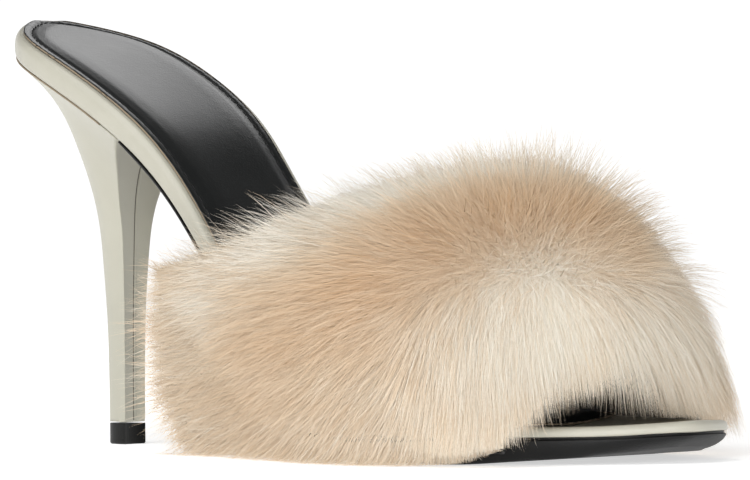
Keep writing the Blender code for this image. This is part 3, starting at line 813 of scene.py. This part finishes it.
def make_pelt(band, weights, material):
    """The dense underfur below the strands: the CAD band drawn in where hair grows."""
    mesh = band.copy()
    mesh.name = "fur_pelt"
    places = points_of(mesh)
    co = places - normals_of(mesh) * (depth_at(places) * (weights > 0))[:, None]
    co[:, 2] = np.maximum(co[:, 2], 0.0012 + 0.0028 * smoothstep(co[:, 0], 0.135, 0.150))
    mesh.vertices.foreach_set("co", co.reshape(-1).astype(np.float32))
    mesh.update()
    write_attribute(mesh, "tone", tone_at(co))
    # The pelt takes nearly the root's painted shade, as shade below the hair, except near the parting.
    write_attribute(mesh, "along", np.maximum(0.1, ruffle_at(co)))
    mesh.materials.clear()
    mesh.materials.append(material)
    return link(bpy.data.objects.new("fur_pelt", mesh))


def make_lining(band, weights, material):
    """Leather that lines the band where the foot goes."""
    bm = bmesh.new()
    bm.from_mesh(band)
    bm.verts.ensure_lookup_table()
    grown = [v for v in bm.verts if weights[v.index] > 0.5]
    bmesh.ops.delete(bm, geom=grown, context="VERTS")
    edge = [v for v in bm.verts if v.is_boundary]
    for _ in range(LINING_EVENING):
        moved = []
        for vertex in edge:
            beside = [e.other_vert(vertex).co for e in vertex.link_edges if e.is_boundary]
            moved.append((vertex.co * 2 + beside[0] + beside[1]) / 4 if len(beside) == 2 else vertex.co)
        for vertex, place in zip(edge, moved):
            vertex.co = place
    bm.normal_update()
    for vertex in bm.verts:
        vertex.co += vertex.normal * LINING_GAP
    mesh = bpy.data.meshes.new("band_lining")
    bm.to_mesh(mesh)
    bm.free()
    mesh.shade_smooth()
    mesh.materials.clear()
    mesh.materials.append(material)
    piece = link(bpy.data.objects.new("band_lining", mesh))
    sheet = piece.modifiers.new("thickness", "SOLIDIFY")
    sheet.thickness = LINING_THICKNESS
    sheet.offset = -1.0
    return piece


def make_fur(node, materials):
    shape = twin(node, 2, crease=0.0)
    band = shape.data
    bpy.data.objects.remove(shape)
    weights = grows_fur(band)
    # Root and tip factors: painted shade at the root, painted light at the tip.
    under = fur_material("cream_underfur", FUR_TONES, 0.84, 1.04)
    guard = fur_material("cream_guard_hair", FUR_TONES, 0.90, 1.10)
    pelt = make_pelt(band, weights, under)
    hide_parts(node.name)
    pieces = [pelt]
    rng = np.random.default_rng(FUR_SEED)
    for k in range(UNDER_PIECES):
        pieces.append(strands(f"fur_under_{k + 1}", band, weights, UNDERFUR, rng, under))
    for k in range(GUARD_PIECES):
        pieces.append(strands(f"fur_guard_{k + 1}", band, weights, GUARD_HAIR, rng, guard))
    lining = make_lining(band, weights, materials["lining"])
    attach(lining, "root")
    for piece in pieces:
        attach(piece, "root")


def replace_by_twin(node, material):
    piece = twin(node, 2, node.name + "_leather")
    piece.data.materials.clear()
    piece.data.materials.append(material)
    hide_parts(node.name)
    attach(piece, "root")
    return piece


def make_leather(nodes, materials):
    heel = replace_by_twin(nodes["heel"], materials["heel"])
    footbed = replace_by_twin(nodes["footbed"], materials["footbed"])
    outsole = replace_by_twin(nodes["outsole"], materials["outsole"])
    nodes["heel_tip"].data.materials.clear()
    nodes["heel_tip"].data.materials.append(materials["heel_tip"])
    pieces = make_insock(nodes["insock"], materials)
    tip_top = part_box("heel_tip")[1].z
    pieces += make_breast_seam(heel, tip_top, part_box("heel")[1].z, materials)
    loop = outline_of(footbed.data)
    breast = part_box("outsole")[0].x
    seat = np.flatnonzero(loop[:, 0] < breast)
    pieces.append(make_under_line("seat_line", footbed, loop, seat, 0.0005, 0.00015, 0.0004,
                                  0.0003, materials["raw_edge"]))
    loop = np.roll(loop, len(loop) // 2, axis=0)
    toe = np.flatnonzero(loop[:, 0] > TOE_LINE_START)
    pieces.append(make_under_line("toe_line", footbed, loop, toe, TOE_LINE_INSET, 0.00015,
                                  0.0009, 0.0003, materials["outsole"]))
    for piece in pieces:
        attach(piece, "root")


def make_camera():
    back = Vector((sin(CAMERA_AZIMUTH) * cos(CAMERA_ELEVATION),
                   -cos(CAMERA_AZIMUTH) * cos(CAMERA_ELEVATION), sin(CAMERA_ELEVATION)))
    right = Vector((cos(CAMERA_AZIMUTH), sin(CAMERA_AZIMUTH), 0.0))
    up = back.cross(right)
    rolled_right = right * cos(CAMERA_ROLL) - up * sin(CAMERA_ROLL)
    rolled_up = right * sin(CAMERA_ROLL) + up * cos(CAMERA_ROLL)
    place = CAMERA_TARGET + back * CAMERA_DISTANCE
    aim = CAMERA_TARGET + rolled_right * CAMERA_AIM_RIGHT + rolled_up * CAMERA_AIM_UP
    axis = (place - aim).normalized()
    side = rolled_up.cross(axis).normalized()
    turn = Matrix((side, axis.cross(side), axis)).transposed().to_4x4()
    camera = link(bpy.data.objects.new("camera", bpy.data.cameras.new("camera")))
    camera.data.sensor_width = SENSOR_WIDTH
    camera.data.lens = CAMERA_LENS
    camera.data.clip_start = 0.05
    camera.matrix_world = Matrix.Translation(place) @ turn
    bpy.context.scene.camera = camera


def area_light(name, place, size, power):
    lamp = bpy.data.lights.new(name, "AREA")
    lamp.size = size
    lamp.energy = power
    light = link(bpy.data.objects.new(name, lamp))
    light.location = place
    light.rotation_euler = (CAMERA_TARGET - Vector(place)).to_track_quat("-Z", "Y").to_euler()


def make_world():
    world = bpy.data.worlds.new("studio")
    bpy.context.scene.world = world
    world.use_nodes = True
    tree = world.node_tree
    direction = tree.nodes.new("ShaderNodeTexCoord").outputs["Generated"]
    parts = tree.nodes.new("ShaderNodeSeparateXYZ")
    tree.links.new(direction, parts.inputs["Vector"])
    colour = ramp(tree, parts.outputs["Z"], [(place, (tone,) * 3) for place, tone in SKY_TONES])
    tree.links.new(colour, tree.nodes["Background"].inputs["Color"])
    tree.nodes["Background"].inputs["Strength"].default_value = HORIZON_TONE


def make_floor():
    half = FLOOR_SIZE / 2
    corners = [(-half, -half, 0), (half, -half, 0), (half, half, 0), (-half, half, 0)]
    material, tree, shader = new_material("pale_floor")
    speck = add_node(tree, "ShaderNodeTexNoise", Scale=3.0)
    stops = [(0.3, (FLOOR_TONE,) * 3), (0.7, (FLOOR_TONE + 0.01,) * 3)]
    tree.links.new(ramp(tree, speck.outputs["Fac"], stops), shader.inputs["Base Color"])
    shader.inputs["Roughness"].default_value = 0.9
    shader.inputs["Specular IOR Level"].default_value = 0.0
    shader.inputs["Emission Color"].default_value = (1.0, 1.0, 1.0, 1.0)
    place = tree.nodes.new("ShaderNodeTexCoord").outputs["Object"]
    away = add_node(tree, "ShaderNodeVectorMath", operation="DISTANCE")
    tree.links.new(place, away.inputs[0])
    away.inputs[1].default_value = FLOOR_MIDDLE
    glow = add_node(tree, "ShaderNodeMapRange",
                    **{"From Min": FLOOR_REACH[0], "From Max": FLOOR_REACH[1],
                       "To Min": FLOOR_GLOW[0], "To Max": FLOOR_GLOW[1]})
    tree.links.new(away.outputs["Value"], glow.inputs["Value"])
    tree.links.new(glow.outputs["Result"], shader.inputs["Emission Strength"])
    floor = mesh_piece("floor", corners, [(0, 1, 2, 3)], [material])


def main():
    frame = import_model()
    materials = make_materials()
    make_leather(frame["nodes"], materials)
    make_fur(frame["nodes"]["upper_band"], materials)
    make_camera()
    make_world()
    area_light("key", KEY_PLACE, KEY_SIZE, KEY_POWER)
    area_light("fill", FILL_PLACE, FILL_SIZE, FILL_POWER)
    area_light("back", BACK_PLACE, BACK_SIZE, BACK_POWER)
    make_floor()
    bpy.context.scene.view_settings.view_transform = "Standard"


main()
